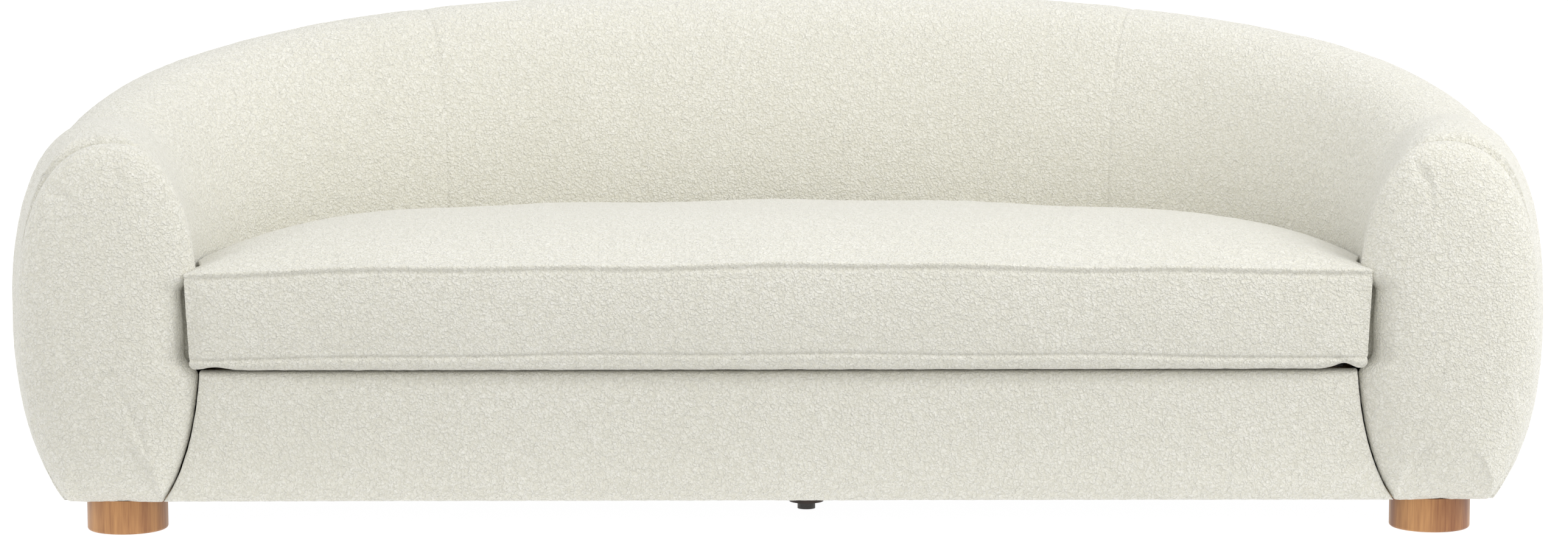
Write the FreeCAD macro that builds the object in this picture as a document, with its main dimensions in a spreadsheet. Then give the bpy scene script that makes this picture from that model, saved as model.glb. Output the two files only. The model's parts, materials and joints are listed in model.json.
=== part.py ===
import FreeCAD, Part
import math
import os

import Sketcher
from FreeCAD import Placement, Rotation, Vector

# Curved sofa: an upholstered U-shaped roll that is back and both arms, egg-shaped pads on the arm
# fronts, a sprung seat with one loose cushion, and round wooden legs.
# +X is the sitter's left-to-right as seen from the front, -Y is the front, +Z is up. The origin is
# on the floor under the middle of the sofa.

SIZES = {
    # plan of the roll's centre line
    "arm_front_y": -400.0,
    "bend_start_y": -299.0,
    "arm_centre_x": 974.0,
    "bend_outward": 22.0,
    "back_reach": 625.0,
    "bend_power": 2.3,
    "seam_x": 520.0,
    # section of the roll
    "roll_half": 134.0,
    "roll_foot": 10.0,
    "arm_wide_z": 313.0,
    "back_wide_z": 352.0,
    "arm_top_z": 596.0,
    "back_top_z": 745.0,
    "crown_power": 2.3,
    "foot_power": 2.2,
    "rise_start": 0.06,
    "rise_power": 2.6,
    "end_round": 30.0,
    "end_blend": 150.0,
    # layers of the upholstery
    "cover_thick": 2.5,
    "layer_gap": 0.3,
    "foam_slack": 0.8,
    "roll_foam": 45.0,
    "skin_thick": 3.0,
    "rail_foam": 32.0,
    # wooden frame
    "base_z": 50.0,
    "base_thick": 18.0,
    "base_edge": 4.0,
    "spine_half": 80.0,
    "window_inward": 45.0,
    "window_front": 60.0,
    "window_back": 30.0,
    "rib_thick": 18.0,
    "rib_slack": 3.0,
    "rib_hole": 35.0,
    "former_setback": 2.0,
    "tie_half": 30.0,
    "tie_thick": 15.0,
    "tie_z": 300.0,
    "tie_slack": 0.8,
    "rail_tall": 160.0,
    "rail_thick": 25.0,
    "rail_end_fit": 8.0,
    "side_rail_inward": 504.0,
    "rear_rail_fit": 6.0,
    "rear_rail_thick": 45.0,
    "spine_tall": 72.0,
    "deck_thick": 15.0,
    "deck_lap_free": 5.0,
    "post_size": 45.0,
    "post_inward": 239.0,
    "post_back_inward": 314.0,
    "post_setback": 110.0,
    "post_back_forward": 406.0,
    "block_size": 60.0,
    "block_thick": 25.0,
    # arm-front pads
    "pad_inward": 13.0,
    "pad_narrower": 3.0,
    "pad_drop": 34.0,
    "pad_foot": 16.0,
    "pad_depth": 60.0,
    "pad_round": 50.0,
    "pad_board": 9.0,
    "pad_board_inset": 10.0,
    "pad_fit": 0.5,
    # seat springs and deck
    "spring_wire": 1.9,
    "spring_pitch": 100.0,
    "spring_half": 22.0,
    "spring_step": 24.0,
    "spring_base": 1.2,
    "clip_wide": 14.0,
    "clip_long": 20.0,
    "deck_pad_gap": 0.4,
    "deck_cloth": 1.5,
    # loose seat cushion
    "cushion_fit": 3.0,
    "cushion_end_fit": 3.0,
    "side_run": 12.0,
    "wall_start": 90.0,
    "cushion_overhang": 46.0,
    "cushion_corner": 30.0,
    "cushion_rest": 0.7,
    "cushion_tall": 142.5,
    "cushion_crown": 60.0,
    "cushion_slope": 150.0,
    "cushion_rear_half": 245.0,
    "cushion_rear_fit": 6.0,
    "cushion_wrap": 12.0,
    # zip in the cushion's rear border
    "zip_half": 230.0,
    "zip_tall": 28.0,
    "zip_thick": 1.2,
    "coil_tall": 5.0,
    "coil_thick": 1.6,
    "zip_drop": 72.0,
    "slider_long": 11.0,
    "slider_tall": 9.0,
    "slider_thick": 2.6,
    # legs and centre foot
    "leg_radius": 59.0,
    "leg_round": 4.0,
    "leg_inward": 14.0,
    "leg_setback": 42.0,
    "rear_leg_run": 0.325,
    "bolt_radius": 4.0,
    "bolt_slack": 0.1,
    "bolt_in_leg": 30.0,
    "bolt_above": 6.0,
    "nut_radius": 5.4,
    "nut_drop": 12.0,
    "nut_flange": 11.0,
    "nut_flange_thick": 1.5,
    "foot_x": 42.0,
    "foot_y": -205.0,
    "foot_radius": 26.0,
    "foot_glide_radius": 13.5,
    "foot_glide_tall": 11.0,
    "foot_screw": 2.5,
    "dust_thick": 1.0,
}

SECTION_POINTS = 23
BACK_STATIONS = 11
ARM_STATIONS = 13
RIB_RUNS = (0.085, 0.165, 0.25, 0.38, 0.5, 0.62, 0.75, 0.835, 0.915)

# Places worked out from the sizes, as the expressions that parts of the document are bound to.
BASE_TOP = "(sizes.base_z + sizes.base_thick)"
RAIL_TOP = f"({BASE_TOP} + sizes.rail_tall)"
DECK_TOP = f"({RAIL_TOP} + sizes.deck_thick)"
PAD_X = "(sizes.arm_centre_x - sizes.pad_inward)"
PAD_HALF = "(sizes.roll_half - sizes.pad_narrower)"
RAIL_HALF = f"({PAD_X} - {PAD_HALF} - sizes.rail_end_fit)"
SIDE_RAIL_X = "(sizes.arm_centre_x - sizes.side_rail_inward)"
BEND_X = "(sizes.arm_centre_x + sizes.bend_outward)"
BEND_SHARE = f"(({SIDE_RAIL_X} / {BEND_X}) ^ sizes.bend_power)"
REAR_RAIL_Y = (f"(sizes.bend_start_y + sizes.back_reach * (1 - {BEND_SHARE}) ^ (1 / sizes.bend_power)"
               " - sizes.roll_half - sizes.rear_rail_fit - sizes.rear_rail_thick)")
CUSHION_BASE = f"({DECK_TOP} + sizes.layer_gap + sizes.deck_cloth + sizes.cushion_rest)"
CUSHION_SEAM = f"({CUSHION_BASE} + sizes.cushion_tall)"

doc = FreeCAD.newDocument("curved_sofa")
sheet = doc.addObject("Spreadsheet::Sheet", "sizes")
for row, (alias, value) in enumerate(SIZES.items(), start=1):
    sheet.set(f"A{row}", alias)
    sheet.set(f"B{row}", str(value))
    sheet.setAlias(f"B{row}", alias)
doc.recompute()

pieces = []


def size(name):
    return float(sheet.get(name))


def place(rule):
    """The value of one of the expressions above."""
    return float(sheet.evalExpression(rule))


def keep(piece, label):
    """Name a sub-part and put it on the list of those that are written out."""
    piece.Label = label
    pieces.append(piece)
    return piece


def keep_shape(label, shape):
    piece = doc.addObject("Part::Feature", label)
    piece.Shape = shape
    return keep(piece, label)


def mirrored(shape):
    return shape.mirror(Vector(0, 0, 0), Vector(1, 0, 0))


def keep_pair(label, shape):
    """A left-hand shape, and its mirror image for the right."""
    keep_shape(label + "_left", shape)
    keep_shape(label + "_right", mirrored(shape))


def box(label, length, width, height, corner):
    """A block whose three sizes and corner are expressions of the sheet's cells."""
    piece = doc.addObject("Part::Box", label)
    for name, rule in (("Length", length), ("Width", width), ("Height", height)):
        piece.setExpression(name, rule)
    for axis, rule in zip("xyz", corner):
        piece.setExpression(f".Placement.Base.{axis}", rule)
    return keep(piece, label)


def profile(body, plane, corners):
    """A closed polygon sketch on one of the body's origin planes, every corner set by expressions."""
    sketch = body.newObject("Sketcher::SketchObject", "profile")
    face = [item for item in body.Origin.OriginFeatures if item.Role == plane][0]
    sketch.AttachmentSupport = [(face, "")]
    sketch.MapMode = "FlatFace"
    count = len(corners)
    ring = [Vector(math.cos(2 * math.pi * k / count), math.sin(2 * math.pi * k / count), 0) * 20
            for k in range(count)]
    for k in range(count):
        sketch.addGeometry(Part.LineSegment(ring[k], ring[(k + 1) % count]), False)
    for k in range(count):
        sketch.addConstraint(Sketcher.Constraint("Coincident", k, 2, (k + 1) % count, 1))
    for k, rules in enumerate(corners):
        for kind, rule, start in zip(("DistanceX", "DistanceY"), rules, ring[k]):
            index = sketch.addConstraint(Sketcher.Constraint(kind, -1, 1, k, 1, start))
            sketch.setExpression(f"Constraints[{index}]", rule)
    return sketch


def turned(label, corners):
    """A body turned about Z from a profile of (radius, height) expressions."""
    body = doc.addObject("PartDesign::Body", label)
    sketch = profile(body, "XZ_Plane", corners)
    turn = body.newObject("PartDesign::Revolution", "turn")
    turn.Profile = sketch
    turn.ReferenceAxis = (sketch, ["V_Axis"])
    turn.Angle = 360
    doc.recompute()
    return body


def padded(label, plane, corners, length, midplane=False):
    """A body whose profile is padded to a length given as an expression."""
    body = doc.addObject("PartDesign::Body", label)
    sketch = profile(body, plane, corners)
    pad = body.newObject("PartDesign::Pad", "pad")
    pad.Profile = sketch
    pad.setExpression("Length", length)
    pad.Midplane = midplane
    doc.recompute()
    return body


def copies(label, body, spots, turns=None):
    """One node of several equal solids, each a copy of the body's shape at its own place."""
    turns = turns or [0.0] * len(spots)
    shapes = []
    for spot, turn in zip(spots, turns):
        shape = body.Shape.copy()
        shape.Placement = Placement(spot, Rotation(Vector(0, 0, 1), turn)).multiply(body.Placement)
        shapes.append(shape)
    return keep_shape(label, Part.makeCompound(shapes))


# The roll ------------------------------------------------------------------------------------

def power(value, exponent):
    """The sine or cosine of a circle made into that of a superellipse."""
    return math.copysign(abs(value) ** (2.0 / exponent), value)


def plan_points(steps=720):
    """The roll's centre line in plan, from the left arm's front round to the right arm's."""
    reach_x, reach_y, start = place(BEND_X), size("back_reach"), size("bend_start_y")
    bend = []
    for k in range(steps + 1):
        angle = math.pi * k / steps
        x = -reach_x * power(math.cos(angle), size("bend_power"))
        y = start + reach_y * power(math.sin(angle), size("bend_power"))
        bend.append(Vector(x, y, 0))
    arm_x, arm_y = size("arm_centre_x"), size("arm_front_y")
    return [Vector(-arm_x, arm_y, 0)] + bend + [Vector(arm_x, arm_y, 0)]


PLAN = plan_points()
RUNS = [0.0]
for before, after in zip(PLAN, PLAN[1:]):
    RUNS.append(RUNS[-1] + before.distanceToPoint(after))
PLAN_LENGTH = RUNS[-1]


def plan_at(length):
    """The point a given length along the centre line."""
    length = min(max(length, 0.0), PLAN_LENGTH)
    k = 1
    while RUNS[k] < length:
        k += 1
    share = (length - RUNS[k - 1]) / (RUNS[k] - RUNS[k - 1])
    return PLAN[k - 1] + (PLAN[k] - PLAN[k - 1]) * share


def station(run):
    """Point on the centre line and outward direction, at a share of its length from 0 to 1."""
    length = run * PLAN_LENGTH
    reach = 12.0
    along = plan_at(length + reach) - plan_at(length - reach)
    outward = Vector(-along.y, along.x, 0)
    outward.normalize()
    from_end = min(length, PLAN_LENGTH - length)
    blend = min(from_end / size("end_blend"), 1.0)
    sideways = Vector(-1.0 if run < 0.5 else 1.0, 0, 0)
    outward = sideways * (1 - blend) + outward * blend
    outward.normalize()
    return plan_at(length), outward


def roll_sizes(run):
    """Half-thickness, top height and height of the widest point of the roll at a station."""
    run = min(run, 1 - run)
    climb = min(max((run - size("rise_start")) / (0.5 - size("rise_start")), 0.0), 1.0)
    climb = 1 - (1 - climb) ** size("rise_power")
    top = size("arm_top_z") + (size("back_top_z") - size("arm_top_z")) * climb
    wide = size("arm_wide_z") + (size("back_wide_z") - size("arm_wide_z")) * climb
    return size("roll_half"), top, wide


def end_inset(run):
    """How far the roll's end is rounded in, at a station near an arm's front."""
    radius = size("end_round")
    left = radius - min(run, 1 - run) * PLAN_LENGTH
    return radius - math.sqrt(radius ** 2 - left ** 2) if left > 0 else 0.0


def section_points(run, inset, outer_foot, inner_foot):
    """Points of the roll's section, from the outer foot over the top to the inner foot."""
    point, outward = station(run)
    half, top, wide = roll_sizes(run)
    half, crown, depth = half - inset, top - inset - wide, wide - size("roll_foot")
    start, end = (math.asin(((wide - foot) / depth) ** (size("foot_power") / 2))
                  for foot in (outer_foot, inner_foot))
    points = []
    for k in range(SECTION_POINTS):
        angle = -start + (math.pi + start + end) * k / (SECTION_POINTS - 1)
        upper = math.sin(angle) >= 0
        bow = size("crown_power") if upper else size("foot_power")
        reach = half * power(math.cos(angle), bow)
        rise = (crown if upper else depth) * power(math.sin(angle), bow)
        points.append(point + outward * reach + Vector(0, 0, wide + rise))
    return points


def roll_half_at(run, height, inset):
    """Half-thickness of the roll at a height below its widest point."""
    half, _, wide = roll_sizes(run)
    share = (wide - height) / (wide - size("roll_foot"))
    return (half - inset) * (1 - share ** size("foot_power")) ** (1 / size("foot_power"))


def smooth(points):
    curve = Part.BSplineCurve()
    count = len(points)
    curve.interpolate(Points=points, Parameters=[k / (count - 1) for k in range(count)])
    return curve.toShape()


def smooth_by_length(points):
    """A curve through unevenly spaced points, its parameter growing with their distances."""
    lengths = [0.0]
    for before, after in zip(points, points[1:]):
        lengths.append(lengths[-1] + before.distanceToPoint(after))
    curve = Part.BSplineCurve()
    curve.interpolate(Points=points, Parameters=[length / lengths[-1] for length in lengths])
    return curve.toShape()


def ring_wire(run, outer, inner, foot, rounded):
    """Section of a layer of the roll: an arch between two insets, open at the foot."""
    stand = place(BASE_TOP) + size("layer_gap")
    over = section_points(run, outer + (end_inset(run) if rounded else 0), foot, stand)
    under = section_points(run, inner, foot, stand)[::-1]
    return Part.Wire([smooth(over), Part.makeLine(over[-1], under[0]),
                      smooth(under), Part.makeLine(under[-1], over[0])])


def seam_run():
    """Share of the centre line at which the roll's inner side reaches the cover's seam."""
    run = 0.2
    while run < 0.5:
        point, outward = station(run)
        if (point - outward * size("roll_half")).x > -size("seam_x"):
            return run
        run += 0.001
    return run


SEAM = seam_run()


def arm_runs():
    """Stations of an arm's length, closer where its front end is rounded."""
    near = [size("end_round") * share / PLAN_LENGTH for share in (0.0, 0.15, 0.5, 1.0, 2.0)]
    first, count = near[-1], ARM_STATIONS
    return near + [first + (SEAM - first) * k / count for k in range(1, count + 1)]


def back_runs():
    return [SEAM + (1 - 2 * SEAM) * k / (BACK_STATIONS - 1) for k in range(BACK_STATIONS)]


def layer(runs, outer, inner, foot, rounded):
    return Part.makeLoft([ring_wire(run, outer, inner, foot, rounded) for run in runs], True, False)


def roll_layer(label, outer, inner, foot, rounded=True):
    """The left, back and right lengths of one layer of the roll."""
    arm = layer(arm_runs(), outer, inner, foot, rounded)
    back = layer(back_runs(), outer, inner, foot, rounded)
    keep_pair(label, arm)
    keep_shape(label + "_back", back)


# The base panel ------------------------------------------------------------------------------

def base_outline(inset):
    """Outline of the base panel: round the roll's foot, straight across the front."""
    count = 41
    edge = []
    for k in range(count):
        point, outward = station(k / (count - 1))
        within = size("cover_thick") + end_inset(k / (count - 1))
        foot = roll_half_at(k / (count - 1), size("base_z"), within)
        edge.append(point + outward * (foot - size("base_edge") - inset))
    edge[0].y = edge[-1].y = size("arm_front_y")
    return Part.Wire([smooth(edge), Part.makeLine(edge[-1], edge[0])])


def plate(wire, bottom, thick):
    plain = wire.copy()
    plain.translate(Vector(0, 0, bottom))
    return Part.Face(plain).extrude(Vector(0, 0, thick))


def rear_leg_place():
    point, _ = station(size("rear_leg_run"))
    return Vector(point.x, point.y, 0)


def leg_places():
    front_x, front_y = size("arm_centre_x") - size("leg_inward"), size("arm_front_y") + size("leg_setback")
    places = [Vector(-front_x, front_y, 0), rear_leg_place()]
    return places + [Vector(-spot.x, spot.y, 0) for spot in places]


def foot_place():
    return Vector(size("foot_x"), size("foot_y"), 0)


def base_panel():
    shape = plate(base_outline(0), size("base_z"), size("base_thick"))
    front = size("arm_front_y") + size("window_front")
    back = place(REAR_RAIL_Y) - size("window_back")
    for side in (-1, 1):
        inner, outer = side * size("spine_half"), side * (place(SIDE_RAIL_X) - size("window_inward"))
        window = Part.makeBox(abs(outer - inner), back - front, size("base_thick"),
                              Vector(min(inner, outer), front, size("base_z")))
        shape = shape.cut(window)
    for spot in leg_places():
        hole = Part.makeCylinder(size("nut_radius") + size("bolt_slack"), size("base_thick"),
                                 spot + Vector(0, 0, size("base_z")))
        shape = shape.cut(hole)
    screw = Part.makeCylinder(size("foot_screw") + size("bolt_slack"), size("base_thick"),
                              foot_place() + Vector(0, 0, size("base_z")))
    return shape.cut(screw)


def dust_cover():
    """Cloth under the base panel, cut out round the legs and the centre foot."""
    gap = size("layer_gap")
    shape = plate(base_outline(gap), size("base_z") - size("dust_thick") - gap, size("dust_thick"))
    holes = [(spot, size("leg_radius")) for spot in leg_places()]
    holes.append((foot_place(), size("foot_radius")))
    for spot, radius in holes:
        hole = Part.makeCylinder(radius + gap, size("base_z"), spot)
        shape = shape.cut(hole)
    return shape


# Ribs and their ties -------------------------------------------------------------------------

def hollow_inset():
    """Inset of the space that the roll's ribs stand in."""
    layers = size("cover_thick") + size("roll_foam") + size("skin_thick")
    return layers + 2 * size("foam_slack") + size("layer_gap")


def rib(run, hole=True):
    """An upright plywood former, square to the centre line."""
    thick = size("rib_thick")
    points = section_points(run, hollow_inset() + size("rib_slack"), place(BASE_TOP), place(BASE_TOP))
    face = Part.Face(Part.Wire([smooth(points), Part.makeLine(points[-1], points[0])]))
    point, outward = station(run)
    along = Vector(outward.y, -outward.x, 0)
    shape = face.extrude(along * thick)
    shape.translate(along * (-thick / 2))
    if hole:
        middle = point + Vector(0, 0, roll_sizes(run)[2] + 2 * size("rib_hole")) - along * thick
        shape = shape.cut(Part.makeCylinder(size("rib_hole"), 2 * thick, middle, along))
    return shape


def rib_tie(start, end):
    """A flat strip that holds two ribs apart, following the bend between them."""
    half = (size("rib_thick") / 2 + size("tie_slack")) / PLAN_LENGTH
    runs = [start + half + (end - start - 2 * half) * k / 6 for k in range(7)]
    sides = []
    for side in (1, -1):
        row = [station(run)[0] + station(run)[1] * side * size("tie_half") for run in runs]
        sides.append(row)
    outer, inner = sides[0], sides[1][::-1]
    wire = Part.Wire([smooth(outer), Part.makeLine(outer[-1], inner[0]),
                      smooth(inner), Part.makeLine(inner[-1], outer[0])])
    return plate(wire, size("tie_z"), size("tie_thick"))


def former_run():
    return (size("rib_thick") / 2 + size("former_setback")) / PLAN_LENGTH


# Arm-front pads ------------------------------------------------------------------------------

def pad_wire(inset, y):
    """Egg-shaped outline of the left arm's front pad in an upright plane."""
    half, wide, foot = place(PAD_HALF) - inset, size("arm_wide_z"), size("base_z")
    crown, depth = size("arm_top_z") - size("pad_drop") - inset - wide, wide - size("pad_foot")
    foot += inset
    start = -math.asin(((wide - foot) / depth) ** (size("foot_power") / 2))
    middle_x, points = -place(PAD_X), []
    for k in range(SECTION_POINTS):
        angle = start + (math.pi - 2 * start) * k / (SECTION_POINTS - 1)
        upper = math.sin(angle) >= 0
        bow = size("crown_power") if upper else size("foot_power")
        rise = (crown if upper else depth) * power(math.sin(angle), bow)
        points.append(Vector(middle_x - half * power(math.cos(angle), bow), y, wide + rise))
    return Part.Wire([smooth(points), Part.makeLine(points[-1], points[0])])


def pad_dome(back_y, depth, inset):
    """A pad with a flat back, its front edge rounded to a quarter of an ellipse."""
    radius = size("pad_round")
    wires = [pad_wire(inset, back_y)]
    for angle in (0, 15, 30, 45, 60, 75):
        turn = math.radians(angle)
        away = depth - radius + radius * math.sin(turn)
        wires.append(pad_wire(inset + radius * (1 - math.cos(turn)), back_y - away))
    wires.append(pad_wire(inset + radius * (1 - math.cos(math.radians(83))), back_y - depth))
    return Part.makeLoft(wires, True, False)


def pad_prism(inset, front_y, back_y):
    return Part.Face(pad_wire(inset, back_y)).extrude(Vector(0, front_y - back_y, 0))


def arm_front_pads():
    gap, back_y = size("layer_gap"), size("arm_front_y") - size("layer_gap")
    cover, board, depth = size("cover_thick"), size("pad_board"), size("pad_depth") - gap
    keep_pair("arm_facing_board", pad_prism(size("pad_board_inset"), back_y - board, back_y))
    foam_back, slack = back_y - board - gap, size("foam_slack")
    foam = pad_dome(foam_back, depth - cover - slack - board - gap, cover + slack)
    keep_pair("arm_pad_foam", foam)
    outer = pad_dome(back_y, depth, 0)
    inner = pad_dome(back_y, depth - cover, cover)
    keep_pair("arm_pad_cover", outer.cut(inner))


# Seat frame ----------------------------------------------------------------------------------

def seat_frame():
    run = f"{REAR_RAIL_Y} - sizes.arm_front_y - sizes.rail_thick"
    behind_rail, tall = "sizes.arm_front_y + sizes.rail_thick", "sizes.rail_tall"
    box("front_rail", f"2 * {RAIL_HALF}", "sizes.rail_thick", tall,
        (f"-{RAIL_HALF}", "sizes.arm_front_y", BASE_TOP))
    box("rear_rail", f"2 * {SIDE_RAIL_X}", "sizes.rear_rail_thick", tall,
        (f"-{SIDE_RAIL_X}", REAR_RAIL_Y, BASE_TOP))
    box("side_rail_left", "sizes.rail_thick", run, tall, (f"-{SIDE_RAIL_X}", behind_rail, BASE_TOP))
    box("side_rail_right", "sizes.rail_thick", run, tall,
        (f"{SIDE_RAIL_X} - sizes.rail_thick", behind_rail, BASE_TOP))
    box("centre_stretcher", "sizes.rail_thick", run, "sizes.spine_tall",
        ("-sizes.rail_thick / 2", behind_rail, BASE_TOP))


def corner_blocks():
    """Triangular glue blocks in the four corners of the seat frame."""
    side = "sizes.block_size"
    body = padded("corner_block_master", "XY_Plane", (("0", "0"), (side, "0"), ("0", side)),
                  "sizes.block_thick")
    x = place(SIDE_RAIL_X) - size("rail_thick")
    front, rear = size("arm_front_y") + size("rail_thick"), place(REAR_RAIL_Y)
    z = place(RAIL_TOP) - size("block_thick") - size("spring_half")
    places = [Vector(-x, front, z), Vector(x, front, z), Vector(x, rear, z), Vector(-x, rear, z)]
    copies("corner_blocks", body, places, (0, 90, 180, 270))


def deck_posts():
    """Square posts under the deck ring, outside the side rails."""
    half = "sizes.post_size / 2"
    body = padded("deck_post_master", "XY_Plane",
                  ((f"-{half}", f"-{half}"), (half, f"-{half}"), (half, half), (f"-{half}", half)),
                  "sizes.rail_tall")
    arm_x, back_y = size("arm_centre_x"), size("bend_start_y") + size("back_reach")
    front_x, front_y = arm_x - size("post_inward"), size("arm_front_y") + size("post_setback")
    rear_x, rear_y = arm_x - size("post_back_inward"), back_y - size("post_back_forward")
    places = []
    for side in (-1, 1):
        places.append(Vector(side * front_x, front_y, place(BASE_TOP)))
        places.append(Vector(side * rear_x, rear_y, place(BASE_TOP)))
    copies("deck_posts", body, places)


# Seat cushion outline, also used by the deck under it ----------------------------------------

def wall_point(run, inset):
    point, outward = station(run)
    return point - outward * (size("roll_half") + size("cushion_fit") + inset)


def wall_run(x, inset):
    """Share of the centre line at which the seat's wall passes a distance left of the middle."""
    low, high = SEAM / 2, 0.5
    for _ in range(40):
        middle = (low + high) / 2
        if wall_point(middle, inset).x < -x:
            low = middle
        else:
            high = middle
    return low


def wall_start(inset, y):
    """First share of the centre line, past the arm's rounded end, where the wall is behind y."""
    run = size("wall_start") / PLAN_LENGTH
    while wall_point(run, inset).y < y:
        run += 0.002
    return run


def seat_outline(inset, front_y, corner):
    """Plan of the seat: straight front and rear edges, sides that follow the roll's inner wall."""
    count = 15
    edge_x = place(f"{PAD_HALF} - {PAD_X}") + size("cushion_end_fit") + inset
    corner = max(corner - inset, 2.0)
    turn_y = front_y + corner
    first = wall_start(inset, turn_y + size("side_run"))
    last = wall_run(size("cushion_rear_half"), inset)
    wall = [wall_point(first + (last - first) * k / (count - 1), inset) for k in range(count)]
    wall[-1] = Vector(-size("cushion_rear_half"), wall[-1].y - size("cushion_rear_fit"), 0)
    side_start = Vector(edge_x, size("arm_front_y") + size("side_run"), 0)
    left = [side_start] + wall if side_start.y > turn_y + 5 else wall
    right = [Vector(-point.x, point.y, 0) for point in left[::-1]]
    diagonal = corner * (1 - math.sqrt(0.5))
    arcs = []
    for side in (-1, 1):
        outer, low = Vector(side * -edge_x, turn_y, 0), Vector(side * (-edge_x - corner), front_y, 0)
        middle = Vector(side * (-edge_x - diagonal), front_y + diagonal, 0)
        arcs.append((outer, middle, low))
    (left_up, left_mid, left_low), (right_up, right_mid, right_low) = arcs
    return Part.Wire([
        Part.Arc(left_low, left_mid, left_up).toShape(),
        Part.makeLine(left_up, left[0]),
        smooth_by_length(left),
        Part.makeLine(left[-1], right[0]),
        smooth_by_length(right),
        Part.makeLine(right[-1], right_up),
        Part.Arc(right_up, right_mid, right_low).toShape(),
        Part.makeLine(right_low, left_low),
    ])


def cushion_outline(inset):
    front_y = size("arm_front_y") - size("cushion_overhang") + inset
    return seat_outline(inset, front_y, size("cushion_corner"))


def cushion_slab(inset, bottom, top):
    return plate(cushion_outline(inset), bottom, top - bottom)


def cushion_crown(inset, drop):
    """The domed top of the cushion above its seam, in rings that step in as they rise."""
    wires = []
    for share in (0.0, 0.06, 0.2, 0.45, 0.75, 1.0):
        rise = size("cushion_crown") * (1 - (1 - share) ** 2.4)
        wire = cushion_outline(inset + share * size("cushion_slope"))
        wire.translate(Vector(0, 0, place(CUSHION_SEAM) - drop + rise))
        wires.append(wire)
    return Part.makeLoft(wires, True, True)


def seat_cushion():
    slack, cover, wrap = size("foam_slack"), size("cover_thick"), size("cushion_wrap")
    base, seam = place(CUSHION_BASE), place(CUSHION_SEAM)
    top_panel = cushion_crown(0, 0).cut(cushion_crown(cover, cover))
    keep_shape("cushion_top_panel", top_panel)
    keep_shape("cushion_bottom_panel", cushion_slab(0, base, base + cover))
    border = cushion_slab(0, base + cover, seam).cut(cushion_slab(cover, base + cover, seam))
    keep_shape("cushion_border", border)
    wrap_inset = cover + slack
    foam_inset = wrap_inset + wrap + slack
    shell = cushion_crown(wrap_inset, wrap_inset)
    shell = shell.fuse(cushion_slab(wrap_inset, base + wrap_inset, seam - wrap_inset)).removeSplitter()
    core = cushion_crown(foam_inset, foam_inset)
    core = core.fuse(cushion_slab(foam_inset, base + foam_inset, seam - foam_inset)).removeSplitter()
    keep_shape("cushion_foam", core)
    room_inset = foam_inset - slack
    room = cushion_crown(room_inset, room_inset)
    room = room.fuse(cushion_slab(room_inset, base + room_inset, seam - room_inset))
    keep_shape("cushion_wrap", shell.cut(room))


def rear_edge_y():
    last = wall_run(size("cushion_rear_half"), 0)
    return wall_point(last, 0).y - size("cushion_rear_fit")


def seat_deck():
    gap = size("layer_gap")
    front = size("arm_front_y") + size("rail_thick") + gap
    bottom, top = place(RAIL_TOP), place(DECK_TOP)
    ring = plate(seat_outline(size("cushion_fit"), front, size("cushion_fit")), bottom,
                 size("deck_thick"))
    half = place(SIDE_RAIL_X) - size("rail_thick") + size("deck_lap_free")
    back = spring_ends()[1] + size("clip_long") / 2 + gap
    window = Part.makeBox(2 * half, back - front + gap, size("deck_thick"),
                          Vector(-half, front - gap, bottom))
    keep_shape("deck_ring", ring.cut(window))
    pad_bottom = bottom + size("spring_base") + 2 * size("spring_wire") + size("deck_pad_gap")
    keep_shape("deck_pad", Part.makeBox(2 * (half - gap), back - front - 2 * gap, top - pad_bottom,
                                        Vector(gap - half, front + gap, pad_bottom)))
    cloth = seat_outline(size("cushion_fit"), size("arm_front_y") + gap, size("cushion_fit"))
    keep_shape("deck_cloth", plate(cloth, top + gap, size("deck_cloth")))


# Springs -------------------------------------------------------------------------------------

def spring_path(start_y, end_y, z):
    """Zigzag centre line of one sinuous spring: cross bars joined by half-round bends."""
    bars = int((end_y - start_y) / size("spring_step"))
    step = (end_y - start_y) / bars
    reach = size("spring_half") - step / 2
    edges = []
    side = -1
    for k in range(bars + 1):
        y = start_y + k * step
        edges.append(Part.makeLine(Vector(side * reach, y, z), Vector(-side * reach, y, z)))
        side = -side
        if k < bars:
            bend = Part.Arc(Vector(side * reach, y, z), Vector(side * (reach + step / 2), y + step / 2, z),
                            Vector(side * reach, y + step, z))
            edges.append(bend.toShape())
    return Part.Wire(edges)


def spring_rows():
    """Places of the springs across the seat, as many as fit between the side rails."""
    room = 2 * (place(SIDE_RAIL_X) - size("rail_thick") - size("spring_half"))
    count = int(room / size("spring_pitch")) + 1
    return [(k - (count - 1) / 2) * size("spring_pitch") for k in range(count)]


def spring_ends():
    front = size("arm_front_y") + size("rail_thick") / 2
    return front, place(REAR_RAIL_Y) + size("rail_thick") / 4


def springs():
    z = place(RAIL_TOP) + size("spring_base") + size("spring_wire")
    front, rear = spring_ends()
    path = spring_path(front, rear, z)
    start = path.Edges[0].Vertexes[0].Point
    circle = Part.Wire(Part.makeCircle(size("spring_wire"), start, Vector(1, 0, 0)))
    spring = path.makePipeShell([circle], True, False)
    rows = []
    for x in spring_rows():
        one = spring.copy()
        one.translate(Vector(x, 0, 0))
        rows.append(one)
    keep_shape("sinuous_springs", Part.makeCompound(rows))


def spring_clips():
    """Flat steel seats that the springs' end bars lie on."""
    half = "sizes.clip_wide / 2"
    body = padded("spring_clip_master", "XY_Plane",
                  ((f"-{half}", "-sizes.clip_long / 2"), (half, "-sizes.clip_long / 2"),
                   (half, "sizes.clip_long / 2"), (f"-{half}", "sizes.clip_long / 2")),
                  "sizes.spring_base")
    places = [Vector(x, y, place(RAIL_TOP)) for x in spring_rows() for y in spring_ends()]
    copies("spring_clips", body, places)


# Upholstered front rail ----------------------------------------------------------------------

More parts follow.
